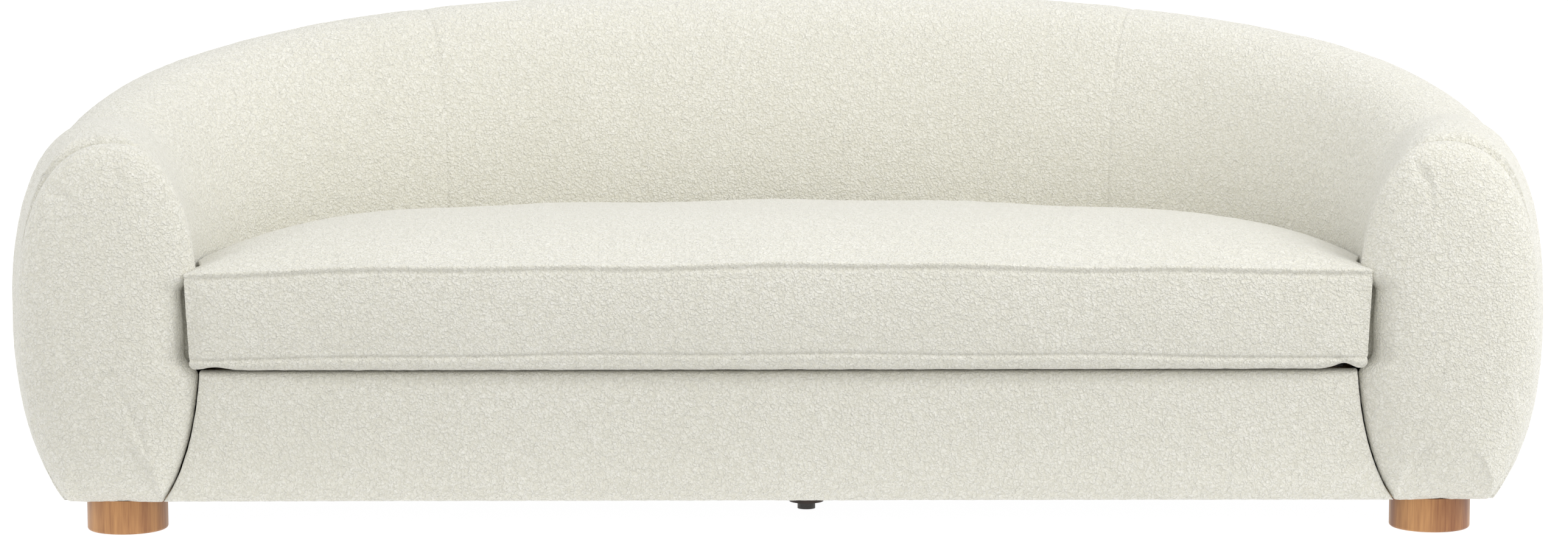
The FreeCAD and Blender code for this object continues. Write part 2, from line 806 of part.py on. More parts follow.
def rail_upholstery():
    """Foam and cover in front of the rail, shaped at the ends to fit round the arm pads."""
    gap, cover = size("layer_gap"), size("cover_thick")
    back_y, z = size("arm_front_y"), size("base_z")
    half = place(PAD_X)
    clear = [pad_prism(-size("pad_fit"), back_y - 2 * size("pad_depth"), back_y + 1)]
    clear.append(mirrored(clear[0]))
    foam_tall = place(DECK_TOP) - z
    foam = Part.makeBox(2 * half, size("rail_foam"), foam_tall,
                        Vector(-half, back_y - gap - size("rail_foam"), z))
    front = back_y - 2 * gap - size("rail_foam") - cover
    sheet_front = Part.makeBox(2 * half, cover, foam_tall + gap, Vector(-half, front, z))
    top = Part.makeBox(2 * half, back_y - gap - front, size("deck_cloth"),
                       Vector(-half, front, z + foam_tall + gap))
    skin = sheet_front.fuse(top).removeSplitter()
    for tool in clear:
        foam, skin = foam.cut(tool), skin.cut(tool)
    keep_shape("front_rail_foam", foam)
    keep_shape("front_rail_cover", skin)


# Zip -----------------------------------------------------------------------------------------

def zip_parts():
    gap = size("layer_gap")
    y = rear_edge_y() + 0.1
    half, z = size("zip_half"), place(CUSHION_SEAM) - size("zip_drop")
    tape = Part.makeBox(2 * half + size("slider_long"), size("zip_thick"), size("zip_tall"),
                        Vector(-half - size("slider_long") / 2, y, z - size("zip_tall") / 2))
    coil_y = y + size("zip_thick")
    coil = Part.makeBox(2 * half + size("slider_long"), size("coil_thick"), size("coil_tall"),
                        Vector(-half - size("slider_long") / 2, coil_y, z - size("coil_tall") / 2))
    keep_shape("zip_tape", tape.fuse(coil).removeSplitter())
    half_tall, slot = "sizes.slider_tall / 2", "(sizes.coil_tall / 2 + sizes.layer_gap)"
    deep, roof = "(sizes.coil_thick + sizes.slider_thick)", "(sizes.coil_thick + sizes.layer_gap)"
    start = "sizes.layer_gap"
    body = padded("zip_slider", "YZ_Plane",
                  ((start, f"-{half_tall}"), (deep, f"-{half_tall}"), (deep, half_tall),
                   (start, half_tall), (start, slot), (roof, slot), (roof, f"-{slot}"),
                   (start, f"-{slot}")), "sizes.slider_long", midplane=True)
    body.Placement = Placement(Vector(-half, coil_y, z), Rotation())
    keep(body, "zip_slider")
    doc.recompute()


# Legs ----------------------------------------------------------------------------------------

def legs():
    bore, floor = "(sizes.bolt_radius + sizes.bolt_slack)", "(sizes.base_z - sizes.bolt_in_leg)"
    names = ("leg_front_left", "leg_rear_left", "leg_front_right", "leg_rear_right")
    for name, spot in zip(names, leg_places()):
        body = turned(name, (("0", "0"), ("sizes.leg_radius", "0"), ("sizes.leg_radius", "sizes.base_z"),
                             (bore, "sizes.base_z"), (bore, floor), ("0", floor)))
        rim = [f"Edge{k}" for k, edge in enumerate(body.Shape.Edges, start=1)
               if edge.Curve.TypeId == "Part::GeomCircle" and edge.CenterOfMass.z < size("leg_round")]
        plain = body.Tip
        fillet = body.newObject("PartDesign::Fillet", "rim")
        fillet.Base = (plain, rim)
        fillet.setExpression("Radius", "sizes.leg_round")
        body.Placement = Placement(spot, Rotation())
        keep(body, name)
    doc.recompute()
    above = "(sizes.base_z + sizes.base_thick + sizes.bolt_above)"
    bolt = turned("hanger_bolt_master", (("0", floor), ("sizes.bolt_radius", floor),
                                         ("sizes.bolt_radius", above), ("0", above)))
    copies("hanger_bolts", bolt, leg_places())
    top = BASE_TOP
    nut = turned("tee_nut_master", ((bore, f"{top} - sizes.nut_drop"),
                                    ("sizes.nut_radius", f"{top} - sizes.nut_drop"),
                                    ("sizes.nut_radius", top), ("sizes.nut_flange", top),
                                    ("sizes.nut_flange", f"{top} + sizes.nut_flange_thick"),
                                    (bore, f"{top} + sizes.nut_flange_thick")))
    copies("tee_nuts", nut, leg_places())


def centre_foot():
    """Dark support foot under the middle, with a nail-on glide, screwed up into the base panel."""
    bore, glide_top = "(sizes.foot_screw + sizes.bolt_slack)", "sizes.foot_glide_tall"
    body = turned("centre_foot", ((bore, glide_top), ("sizes.foot_radius", glide_top),
                                  ("sizes.foot_radius", "sizes.base_z"), (bore, "sizes.base_z")))
    body.Placement = Placement(foot_place(), Rotation())
    keep(body, "centre_foot")
    glide = turned("centre_foot_glide", (("0", "0"), ("sizes.foot_glide_radius", "0"),
                                         ("sizes.foot_glide_radius", glide_top), ("0", glide_top)))
    glide.Placement = Placement(foot_place(), Rotation())
    keep(glide, "centre_foot_glide")
    top = BASE_TOP
    screw = turned("centre_foot_screw", (("0", glide_top), ("sizes.foot_screw", glide_top),
                                         ("sizes.foot_screw", top), ("0", top)))
    screw.Placement = Placement(foot_place(), Rotation())
    keep(screw, "centre_foot_screw")
    doc.recompute()


def build():
    cover = size("cover_thick")
    foam_out = cover + size("foam_slack")
    skin_out = foam_out + size("roll_foam") + size("foam_slack")
    stand = place(BASE_TOP) + size("layer_gap")
    roll_layer("roll_cover", 0, cover, size("base_z"))
    roll_layer("roll_foam", foam_out, foam_out + size("roll_foam"), stand)
    roll_layer("roll_skin", skin_out, skin_out + size("skin_thick"), stand, rounded=False)
    keep_shape("base_panel", base_panel())
    keep_shape("dust_cover", dust_cover())
    keep_pair("arm_former", rib(former_run(), hole=False))
    for number, run in enumerate(RIB_RUNS, start=1):
        keep_shape(f"rib_{number}", rib(run))
    stops = (former_run(),) + RIB_RUNS + (1 - former_run(),)
    keep_shape("rib_ties", Part.makeCompound([rib_tie(a, b) for a, b in zip(stops, stops[1:])]))
    arm_front_pads()
    seat_frame()
    corner_blocks()
    deck_posts()
    seat_deck()
    springs()
    spring_clips()
    rail_upholstery()
    seat_cushion()
    zip_parts()
    legs()
    centre_foot()


def check_and_write():
    doc.recompute()
    for item in doc.Objects:
        if "Invalid" in item.State or "Error" in item.State:
            raise RuntimeError(f"{item.Label} did not compute: {item.State}")
    for piece in pieces:
        if piece.Shape.isNull() or not piece.Shape.isValid():
            raise RuntimeError(f"{piece.Label} has no valid shape")
        if piece.Shape.Volume <= 0 or not piece.Shape.Solids:
            raise RuntimeError(f"{piece.Label} encloses nothing")
    os.makedirs("parts", exist_ok=True)
    for piece in pieces:
        piece.Shape.exportStep(f"parts/{piece.Label}.step")
        print(f"{piece.Label}: {len(piece.Shape.Solids)} solid(s), {piece.Shape.Volume / 1000:.1f} cm3")


build()
check_and_write()
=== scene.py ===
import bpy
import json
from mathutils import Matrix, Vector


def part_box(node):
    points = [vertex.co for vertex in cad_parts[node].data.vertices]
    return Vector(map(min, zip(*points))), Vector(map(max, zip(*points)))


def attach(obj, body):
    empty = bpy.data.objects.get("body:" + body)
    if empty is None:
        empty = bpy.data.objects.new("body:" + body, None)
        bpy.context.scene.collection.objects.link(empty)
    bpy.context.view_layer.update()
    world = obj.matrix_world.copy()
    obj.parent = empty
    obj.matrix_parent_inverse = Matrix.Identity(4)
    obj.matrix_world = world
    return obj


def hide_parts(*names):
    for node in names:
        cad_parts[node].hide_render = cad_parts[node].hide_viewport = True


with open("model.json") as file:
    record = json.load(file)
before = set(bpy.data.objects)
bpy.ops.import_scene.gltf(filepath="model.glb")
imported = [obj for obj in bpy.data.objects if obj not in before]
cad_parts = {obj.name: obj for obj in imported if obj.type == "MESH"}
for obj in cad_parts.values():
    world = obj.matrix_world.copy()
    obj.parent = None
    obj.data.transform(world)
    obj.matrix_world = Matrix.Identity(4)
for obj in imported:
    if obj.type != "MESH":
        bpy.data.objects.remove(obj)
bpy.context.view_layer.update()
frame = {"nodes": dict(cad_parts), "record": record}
ZIP_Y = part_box("zip_tape")[0][1] - 0.0008

import json
import math

import bpy
import numpy as np
from mathutils import Euler, Vector, noise
from mathutils.kdtree import KDTree

# Curved sofa in looped ivory fabric. Lengths are metres in the frame's axes: +X to the right seen
# from the front, -Y the front, +Z up, the floor at z = 0.

ROLL = {
    "front_y": -0.400, "bend_y": -0.299, "front_x": 0.974, "bend_x": 0.996,
    "reach": 0.625, "power": 2.3,
    "half": 0.134, "foot": 0.010, "wide": (0.313, 0.352), "top": (0.596, 0.745),
    "crown_power": 2.3, "foot_power": 2.2, "rise_start": 0.06, "rise_power": 2.6,
    "end_round": 0.010, "end_blend": 0.150, "seam_x": 0.520, "hem_z": 0.050, "cloth": 0.0022,
}
CREASE = {"depth": 0.005, "run": 0.009, "soft": 0.013, "soft_run": 0.058, "wall": (0.062, 0.042),
          "outer": 0.005, "gather": 0.0018, "gather_run": 0.018}
PAD = {"x": 0.961, "inner": 0.122, "outer": 0.1445, "top": 0.575, "wide": 0.313, "foot": 0.016, "base": 0.050,
       "depth": 0.058, "round": 0.070, "side": 0.016, "pinch": 0.015, "dome": 0.007,
       "heart": 0.055, "nest": 0.085}
CUSHION = {"half": 0.859, "front_y": -0.446, "base": 0.2465, "seam": 0.388, "seam_rise": 0.013,
           "crown": 0.048, "slope": 0.200, "fit": 0.003, "side_run": 0.045, "corner_run": 0.62,
           "bulge": 0.006, "turn": 0.010, "rear_gap": 0.012, "hem": 0.015, "hem_rise": 0.009,
           "corner_in": 0.008, "rear_half": 0.26, "deep": 0.62, "border": 0.13}
RAIL = {"y": -0.4345, "base": 0.0505, "top": 0.2425, "round": 0.007, "bulge": 0.003}
GRID = 0.0075
FINE_STEPS = (-0.009, -0.006, -0.004, -0.002, 0.0, 0.002, 0.004, 0.006, 0.009)
SECTION_POINTS = 190
SIM_FRAMES = 20
# Painted shadow on the floor: how far its glow is turned down in front of the sofa, which also dims the light
# on the sofa's lower front.
PAINTED_FLOOR_SHADOW = {"floor": 0.28, "front": (-0.72, -0.465), "far": (-1.1, -2.3), "side": (1.25, 2.2), "white": 0.69}
KEY = {"place": (4.2, -2.2, 4.0), "aim": (0.1, 0, 0.3), "size": (3.0, 3.0), "watts": 100}
OVERHEAD = {"place": (0.3, -0.3, 3.6), "aim": (0, 0, 0.3), "size": (4.0, 2.0), "watts": 5}
CAMERA = {"place": (0.0, -6.313, 1.125), "down": 7.11, "tilt": 0.1, "lens": 94.08, "shift": 0.00427}


# Numbers and meshes ------------------------------------------------------------------------------

def power(value, exponent):
    """The sine or cosine of a circle made into that of a superellipse."""
    return np.sign(value) * np.abs(value) ** (2.0 / exponent)


def ramp(low, high, value):
    """0 below low, 1 above high, smooth between."""
    t = np.clip((value - low) / (high - low), 0, 1)
    return t * t * (3 - 2 * t)


def graded(length, step, fine=()):
    """Positions from 0 to length about a step apart, with closer ones round the places in fine."""
    even = np.linspace(0, length, max(2, int(round(length / step)) + 1))
    near = [place + offset for place in fine for offset in FINE_STEPS if 0 <= place + offset <= length]
    keep = [s for s in even if all(abs(s - place) > FINE_STEPS[-1] + step / 3 for place in fine)]
    return np.array(sorted(set([0.0, length] + keep + near)))


def grid_faces(rows, columns, first=0, wrap=False, flip=False):
    """Quads of a grid of points numbered row by row."""
    faces = []
    span = columns if wrap else columns - 1
    for i in range(rows - 1):
        for j in range(span):
            a = first + i * columns + j
            b = first + i * columns + (j + 1) % columns
            quad = (a, b, b + columns, a + columns)
            faces.append(quad[::-1] if flip else quad)
    return faces


def loop_of(rows, columns):
    """Numbers of a grid's edge points in order: front, right, rear, left."""
    return ([j for j in range(columns)] + [i * columns + columns - 1 for i in range(1, rows)]
            + [(rows - 1) * columns + j for j in range(columns - 2, -1, -1)]
            + [i * columns for i in range(rows - 2, 0, -1)])


def make_mesh(name, points, faces):
    mesh = bpy.data.meshes.new(name)
    mesh.from_pydata([tuple(p) for p in points], [], faces)
    mesh.validate()
    mesh.polygons.foreach_set("use_smooth", [True] * len(mesh.polygons))
    piece = bpy.data.objects.new(name, mesh)
    bpy.context.scene.collection.objects.link(piece)
    return piece


def coordinates(piece):
    flat = np.zeros(len(piece.data.vertices) * 3)
    piece.data.vertices.foreach_get("co", flat)
    return flat.reshape(-1, 3)


def set_coordinates(piece, points):
    piece.data.vertices.foreach_set("co", np.asarray(points, float).ravel())
    piece.data.update()


def normals(piece):
    flat = np.zeros(len(piece.data.vertices) * 3)
    piece.data.vertices.foreach_get("normal", flat)
    return flat.reshape(-1, 3)


def swell(piece, amount):
    """Move every point along its normal by its own amount."""
    set_coordinates(piece, coordinates(piece) + normals(piece) * np.asarray(amount)[:, None])


def cloudy(points, scale, seed):
    """Smooth noise from -1 to 1 at each point, with features about 1 / scale long."""
    shift = Vector((seed * 3.7, seed * 1.3, seed * 7.1))
    return np.array([noise.noise(Vector(p) * scale + shift) for p in points])


def loops(piece, seed, size=0.0007):
    """The fabric's lumpy surface, as far as the mesh is fine enough to carry it."""
    points = coordinates(piece)
    lumps = cloudy(points, 90, seed) * 0.7 + cloudy(points, 28, seed + 1) * 0.4
    swell(piece, lumps * size)


def apply_modifiers(piece):
    bpy.context.view_layer.objects.active = piece
    for item in bpy.context.selected_objects:
        item.select_set(False)
    piece.select_set(True)
    for modifier in list(piece.modifiers):
        bpy.ops.object.modifier_apply(modifier=modifier.name)


def finish_piece(piece, body, slot, *nodes):
    """Put a piece on its body, in place of its CAD nodes, with its slot's material."""
    piece.data.materials.clear()
    piece.data.materials.append(MATERIALS[slot])
    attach(piece, body)
    if nodes:
        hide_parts(*nodes)
    return piece


# The roll's shape --------------------------------------------------------------------------------

def plan_line(steps=1440):
    angle = np.linspace(0, math.pi, steps + 1)
    x = -ROLL["bend_x"] * power(np.cos(angle), ROLL["power"])
    y = ROLL["bend_y"] + ROLL["reach"] * power(np.sin(angle), ROLL["power"])
    end = ROLL["front_x"]
    return (np.concatenate([[-end], x, [end]]),
            np.concatenate([[ROLL["front_y"]], y, [ROLL["front_y"]]]))


PLAN_X, PLAN_Y = plan_line()
PLAN_RUN = np.concatenate([[0], np.cumsum(np.hypot(np.diff(PLAN_X), np.diff(PLAN_Y)))])
LENGTH = PLAN_RUN[-1]


def plan_at(run):
    return np.interp(run, PLAN_RUN, PLAN_X), np.interp(run, PLAN_RUN, PLAN_Y)


def station(run):
    """Centre-line point and outward direction at lengths along it."""
    run = np.asarray(run, float)
    reach = 0.012
    x0, y0 = plan_at(np.clip(run - reach, 0, LENGTH))
    x1, y1 = plan_at(np.clip(run + reach, 0, LENGTH))
    out_x, out_y = -(y1 - y0), x1 - x0
    size = np.hypot(out_x, out_y)
    out_x, out_y = out_x / size, out_y / size
    blend = np.clip(np.minimum(run, LENGTH - run) / ROLL["end_blend"], 0, 1)
    side = np.where(run < LENGTH / 2, -1.0, 1.0)
    out_x, out_y = side * (1 - blend) + out_x * blend, out_y * blend
    size = np.hypot(out_x, out_y)
    x, y = plan_at(run)
    return x, y, out_x / size, out_y / size


def roll_heights(run):
    share = np.minimum(run, LENGTH - run) / LENGTH
    climb = np.clip((share - ROLL["rise_start"]) / (0.5 - ROLL["rise_start"]), 0, 1)
    climb = 1 - (1 - climb) ** ROLL["rise_power"]
    top = ROLL["top"][0] + (ROLL["top"][1] - ROLL["top"][0]) * climb
    wide = ROLL["wide"][0] + (ROLL["wide"][1] - ROLL["wide"][0]) * climb
    return top, wide


def end_inset(run):
    left = ROLL["end_round"] - np.minimum(run, LENGTH - run)
    inside = np.clip(left, 0, ROLL["end_round"])
    return ROLL["end_round"] - np.sqrt(ROLL["end_round"] ** 2 - inside ** 2)


def roll_sections(run, inset, rows):
    """Points of the roll's sections, (run, row, xyz), from the outer foot over to the inner foot."""
    x, y, out_x, out_y = station(run)
    top, wide = roll_heights(run)
    half = ROLL["half"] - inset
    crown, depth = top - inset - wide, wide - ROLL["foot"]
    start = np.arcsin(((wide - ROLL["hem_z"]) / depth) ** (ROLL["foot_power"] / 2))
    share = np.linspace(0, 1, rows)[None, :]
    angle = -start[:, None] + (math.pi + 2 * start[:, None]) * share
    sine, cosine = np.sin(angle), np.cos(angle)
    upper = sine >= 0
    reach = half[:, None] * np.where(upper, power(cosine, ROLL["crown_power"]),
                                     power(cosine, ROLL["foot_power"]))
    rise = np.where(upper, crown[:, None] * power(sine, ROLL["crown_power"]),
                    depth[:, None] * power(sine, ROLL["foot_power"]))
    return np.stack([x[:, None] + out_x[:, None] * reach, y[:, None] + out_y[:, None] * reach,
                     wide[:, None] + rise], axis=2), angle


def seam_run():
    run = np.linspace(0.2, LENGTH / 2, 2000)
    x, y, out_x, out_y = station(run)
    return run[np.argmin(np.abs(x - out_x * ROLL["half"] + ROLL["seam_x"]))]


def roll_insets(run):
    """How far the section shrinks at each place along the roll, and the rings of its end walls."""
    near_end = np.minimum(run, LENGTH - run)
    inset = (end_inset(run) + CREASE["depth"] * np.exp(-(near_end / CREASE["run"]) ** 2)
             + CREASE["soft"] * np.exp(-(near_end / CREASE["soft_run"]) ** 2))
    wall = list(CREASE["wall"])
    return np.concatenate([[0.0, 0.0], run, [LENGTH, LENGTH]]), np.concatenate([wall, inset, wall[::-1]])


def seam_draw(run, seam):
    """The cover pulled in along its two upright seams."""
    near = np.minimum(np.abs(run - seam), np.abs(run - LENGTH + seam))[:, None]
    return -0.0022 * np.exp(-(near / 0.0028) ** 2) - 0.0014 * np.exp(-(near / 0.02) ** 2)


def gathers(run, angle):
    """Short puckers round the top of each front end."""
    over = ramp(0.25, 0.9, np.sin(angle))
    folds = np.sin(angle * 53 + 1.3 * np.sin(angle * 17)) * (0.6 + 0.4 * np.sin(angle * 9 + run[:, None]))
    reach = CREASE["gather_run"] * (0.75 + 0.35 * np.sin(angle * 13 + 1.0))
    from_end = np.minimum(run, LENGTH - run)[:, None]
    return CREASE["gather"] * over * (folds - 0.5) * np.exp(-(from_end / reach) ** 2)


def make_roll():
    """Back and arms in one, its seams drawn in, its front ends gathered round the arm pads."""
    seam = seam_run()
    run, inset = roll_insets(graded(LENGTH, GRID, fine=(0.009, seam, LENGTH - seam, LENGTH - 0.009)))
    points, angle = roll_sections(run, inset, SECTION_POINTS)
    flush, _ = roll_sections(run, np.minimum(inset, CREASE["outer"]), SECTION_POINTS)
    outer = ramp(0.0, 0.7, np.cos(angle))
    outer[:2], outer[-2:] = 0, 0
    points += (flush - points) * outer[:, :, None]
    centre = np.stack(station(run)[:2] + (roll_heights(run)[1],), axis=1)[:, None, :]
    away = points - centre
    away /= np.linalg.norm(away, axis=2)[:, :, None]
    points = points + away * (seam_draw(run, seam) + gathers(run, angle))[:, :, None]
    piece = make_mesh("roll_upholstery", points.reshape(-1, 3),
                      grid_faces(len(run), SECTION_POINTS, flip=True))
    waves = coordinates(piece)
    swell(piece, cloudy(waves, 5.5, 11) * 0.0022 + cloudy(waves, 13, 12) * 0.0009)
    loops(piece, 21)
    shell = piece.modifiers.new("cloth", "SOLIDIFY")
    shell.thickness, shell.offset = ROLL["cloth"], -1
    apply_modifiers(piece)
    return piece


# Arm-front pads ----------------------------------------------------------------------------------

def pad_half_at(z):
    """Reach of the arm pad's outline towards the seat, at a height below its widest."""
    share = np.clip((PAD["wide"] - z) / (PAD["wide"] - PAD["foot"]), 0, 1)
    return PAD["inner"] * (1 - share ** ROLL["foot_power"]) ** (1 / ROLL["foot_power"])


def pad_ring(inset, count):
    """Closed outline of a pad, (x, z) about the pad's centre line, its foot a short straight."""
    crown = PAD["top"] - inset - PAD["wide"]
    depth, base = PAD["wide"] - PAD["foot"], PAD["base"] + inset
    start = math.asin(((PAD["wide"] - base) / depth) ** (ROLL["foot_power"] / 2))
    arch = int(count * 0.86)
    angle = np.linspace(-start, math.pi + start, arch)
    upper = np.sin(angle) >= 0
    half = np.where(np.cos(angle) > 0, PAD["outer"], PAD["inner"]) - inset
    x = half * np.where(upper, power(np.cos(angle), ROLL["crown_power"]),
                        power(np.cos(angle), ROLL["foot_power"]))
    z = PAD["wide"] + np.where(upper, crown * power(np.sin(angle), ROLL["crown_power"]),
                               depth * power(np.sin(angle), ROLL["foot_power"]))
    foot = np.linspace(x[-1], x[0], count - arch + 2)[1:-1]
    return np.concatenate([x, foot]), np.concatenate([z, np.full(len(foot), base)])


def pad_rim(count, back):
    """Rings from the pad's back edge round its shoulder: pinched in behind, rounded in front."""
    rings = []
    for turn in np.linspace(0, math.pi / 2, 7)[:-1]:
        rings.append((PAD["pinch"] * (1 - math.sin(turn)), PAD["side"] * (1 - math.cos(turn))))
    for turn in np.linspace(0, math.radians(78), 12):
        forward = PAD["side"] + (PAD["depth"] - PAD["side"] - PAD["dome"]) * math.sin(turn)
        rings.append((PAD["round"] * (1 - math.cos(turn)), forward))
    points = []
    full_x, full_z = pad_ring(0.0, count)
    plain = 0.8 * ramp(0.3, 0.9, full_x / PAD["outer"])
    for inset, forward in rings:
        x, z = pad_ring(inset, count)
        if forward < PAD["side"]:
            x, z = x + (full_x - x) * plain, z + (full_z - z) * plain
        points.append(np.stack([x, np.full(count, back - forward), z], axis=1))
    return points


def pad_face(last, centre):
    """Rings that shrink towards the centre of the pad's slightly domed face."""
    points = []
    for share in np.linspace(0.93, 0.06, 15):
        inner = last * [share, 1, share] + centre * (1 - share)
        inner[:, 1] = last[0, 1] - PAD["dome"] * (1 - share ** 2)
        points.append(inner)
    return points


def make_pad(name, side):
    """One egg-shaped pad: a rounded rim, a slightly domed face, a flat back against the arm."""
    count, back = SECTION_POINTS, ROLL["front_y"] - 0.0004
    centre = np.array([0.0, 0.0, (PAD["wide"] + PAD["base"]) / 2 + PAD["heart"]])
    points = pad_rim(count, back)
    points += pad_face(points[-1], centre)
    rows = len(points)
    flat = np.concatenate(points)
    tip = np.array([[0.0, flat[-1, 1] - 0.0001, centre[2]]])
    heel = np.array([[0.0, back, centre[2]]])
    flat = np.concatenate([flat, tip, heel])
    flat[:, 0] = flat[:, 0] * side + side * PAD["x"]
    faces = grid_faces(rows, count, wrap=True, flip=side < 0)
    tip_index, heel_index, first = len(flat) - 2, len(flat) - 1, (rows - 1) * count
    for j in range(count):
        k = (j + 1) % count
        cap, base = (first + j, first + k, tip_index), (k, j, heel_index)
        faces += [cap[::-1], base[::-1]] if side < 0 else [cap, base]
    return make_mesh(name, flat, faces), list(range(2 * count)) + [heel_index]


def nest_pad(piece, side):
    """Press a pad's inner edge in where the seat cushion's front corner stands against it."""
    points = coordinates(piece)
    reach = points[:, 0] * side
    low, high = CUSHION["base"], CUSHION["seam"]
    height = points[:, 2]
    beside = ramp(low - 0.012, low + 0.020, height) * (1 - ramp(high - 0.028, high - 0.002, height))
    inner_edge = PAD["x"] - PAD["inner"]
    shift = (CUSHION["half"] + 0.003 - inner_edge) * (1 - ramp(inner_edge, inner_edge + PAD["nest"], reach))
    points[:, 0] += side * shift * beside
    set_coordinates(piece, points)


# Front rail --------------------------------------------------------------------------------------

def make_rail():
    """Padded front rail, its ends cut to fit round the arm pads, its edges rolled back."""
    tall, back = RAIL["top"] - RAIL["base"], ROLL["front_y"] - 0.0006
    z = RAIL["base"] + graded(tall, GRID, fine=(0.0, tall))
    wide = 2 * PAD["x"]
    across = graded(wide, GRID, fine=(0.0, wide)) / wide * 2 - 1
    rows, columns = len(z), len(across)
    reach = PAD["x"] - pad_half_at(z)
    x = reach[:, None] * across[None, :]
    zz = np.repeat(z[:, None], columns, axis=1)
    edge = np.minimum(np.minimum(zz - RAIL["base"], RAIL["top"] - zz), reach[:, None] - np.abs(x))
    sunk = np.clip(RAIL["round"] - edge, 0, RAIL["round"])
    rolled = RAIL["round"] - np.sqrt(RAIL["round"] ** 2 - sunk ** 2)
    middle = np.sin(math.pi * (zz - RAIL["base"]) / tall)
    y = RAIL["y"] + rolled - RAIL["bulge"] * middle * (1 - np.abs(across[None, :]) ** 6)
    front = np.stack([x, y, zz], axis=2).reshape(-1, 3)
    rear = front.copy()
    rear[:, 1] = back
    faces = grid_faces(rows, columns, flip=False)
    faces += grid_faces(rows, columns, first=len(front), flip=True)
    loop = loop_of(rows, columns)
    for a, b in zip(loop, loop[1:] + loop[:1]):
        faces.append((b, a, a + len(front), b + len(front)))
    piece = make_mesh("front_rail_pad", np.concatenate([front, rear]), faces)
    held = list(range(len(front), 2 * len(front))) + loop
    return piece, held


# Seat cushion ------------------------------------------------------------------------------------

def seat_wall(run, inset):
    """Where the seat cushion meets the roll's inner side, in plan."""
    x, y, out_x, out_y = station(run)
    away = ROLL["half"] + CUSHION["fit"] + inset
    rear = CUSHION["rear_gap"] * ramp(0.45, 0.12, np.abs(x))
    return np.stack([x - out_x * away, y - out_y * away - rear], axis=-1)


def side_line(shares, inset):
    """The left edge of the seat in plan, from the front corner back to where the bend is half done."""
    corner = np.array([-CUSHION["half"] + inset, CUSHION["front_y"] + inset])
    first = CUSHION["side_run"]
    start = seat_wall(np.array([first]), inset)[0]
    straight = np.linalg.norm(start - corner)
    total = straight + CUSHION["corner_run"] - first
    along = shares * total
    wall = seat_wall(first + np.clip(along - straight, 0, None), inset)
    near = corner + (start - corner) * np.clip(along / straight, 0, 1)[:, None]
    return np.where((along < straight)[:, None], near, wall)


def patch(across, deep, inset):
    """Plan of the whole seat as a grid stretched between its four edges."""
    left = side_line(deep, inset)
    right = left * [-1, 1]
    half = CUSHION["half"] - inset
    front = np.stack([half * (2 * across - 1), np.full(len(across), CUSHION["front_y"] + inset)], axis=1)
    front[:, 1] -= 0.004 * (1 - (2 * across - 1) ** 2)
    rear_run = CUSHION["corner_run"] + (LENGTH - 2 * CUSHION["corner_run"]) * across
    rear = seat_wall(rear_run, inset)
    straight = 1 - ramp(CUSHION["rear_half"], CUSHION["rear_half"] + 0.08, np.abs(rear[:, 0]))
    rear[:, 1] = np.minimum(rear[:, 1], rear[:, 1] + (ZIP_Y - inset - rear[:, 1]) * straight)
    a, b = across[None, :, None], deep[:, None, None]
    blend = (1 - b) * front[None] + b * rear[None] + (1 - a) * left[:, None] + a * right[:, None]
    corners = ((1 - a) * (1 - b) * front[0] + a * (1 - b) * front[-1]
               + (1 - a) * b * rear[0] + a * b * rear[-1])
    return blend - corners


def lift(x):
    """How far the cushion's front lower edge is lifted off the rail near its corners."""
    left = 0.005 * np.exp(-((x + 0.822) / 0.022) ** 2)
    return left + 0.009 * np.exp(-((x - 0.824) / 0.017) ** 2)


def hem_height(x):
    """Height of the lower seam above the cushion's base."""
    return CUSHION["hem"] + CUSHION["hem_rise"] * (1 - (x / CUSHION["half"]) ** 2) + 0.001 * np.sin(x * 17)


def edge_distance(plan, edge):
    """Distance in plan from every point of the grid to the nearest point of its edge."""
    flat = plan.reshape(-1, 2)
    found = np.full(len(flat), 9.0)
    for start in range(0, len(edge), 60):
        block = edge[start:start + 60]
        gap = np.sqrt(((flat[:, None] - block[None]) ** 2).sum(2)).min(1)
        found = np.minimum(found, gap)
    return found


def seam_height(x, y):
    """Height of the cushion's top seam, highest in the middle, a little uneven."""
    even = CUSHION["seam"] + CUSHION["seam_rise"] * (1 - (x / CUSHION["half"]) ** 2)
    return even + 0.0016 * np.sin(x * 9.3 + 0.7) + 0.0011 * np.sin(x * 21 + 2.0)


def cushion_top(plan, edge, deep):
    """Points of the crowned top panel, which meets the seam all round its edge."""
    flat = plan.reshape(-1, 2)
    share = np.clip(edge_distance(plan, edge) / CUSHION["slope"], 0, 1)
    rise = CUSHION["crown"] * (1 - (1 - share) ** 2.1)
    rise *= 0.88 + 0.12 * np.repeat(deep, plan.shape[1])
    return np.column_stack([flat, seam_height(flat[:, 0], flat[:, 1]) + rise])


def border_zones(edge):
    """Shares from 0 to 1 round the edge: front, open front, front corners, and behind at the zip."""
    front = 1 - ramp(0.0, 0.02, edge[:, 1] - CUSHION["front_y"])
    from_corner = CUSHION["half"] - np.abs(edge[:, 0])
    open_side = front * ramp(0.0, 0.07, from_corner)
    at_corner = ramp(0.10, 0.0, edge[:, 1] - CUSHION["front_y"]) * ramp(0.03, 0.0, from_corner)
    behind = ramp(0.0, 0.05, edge[:, 1] - ZIP_Y + 0.06) * (np.abs(edge[:, 0]) < 0.42)
    return front, open_side, at_corner, behind


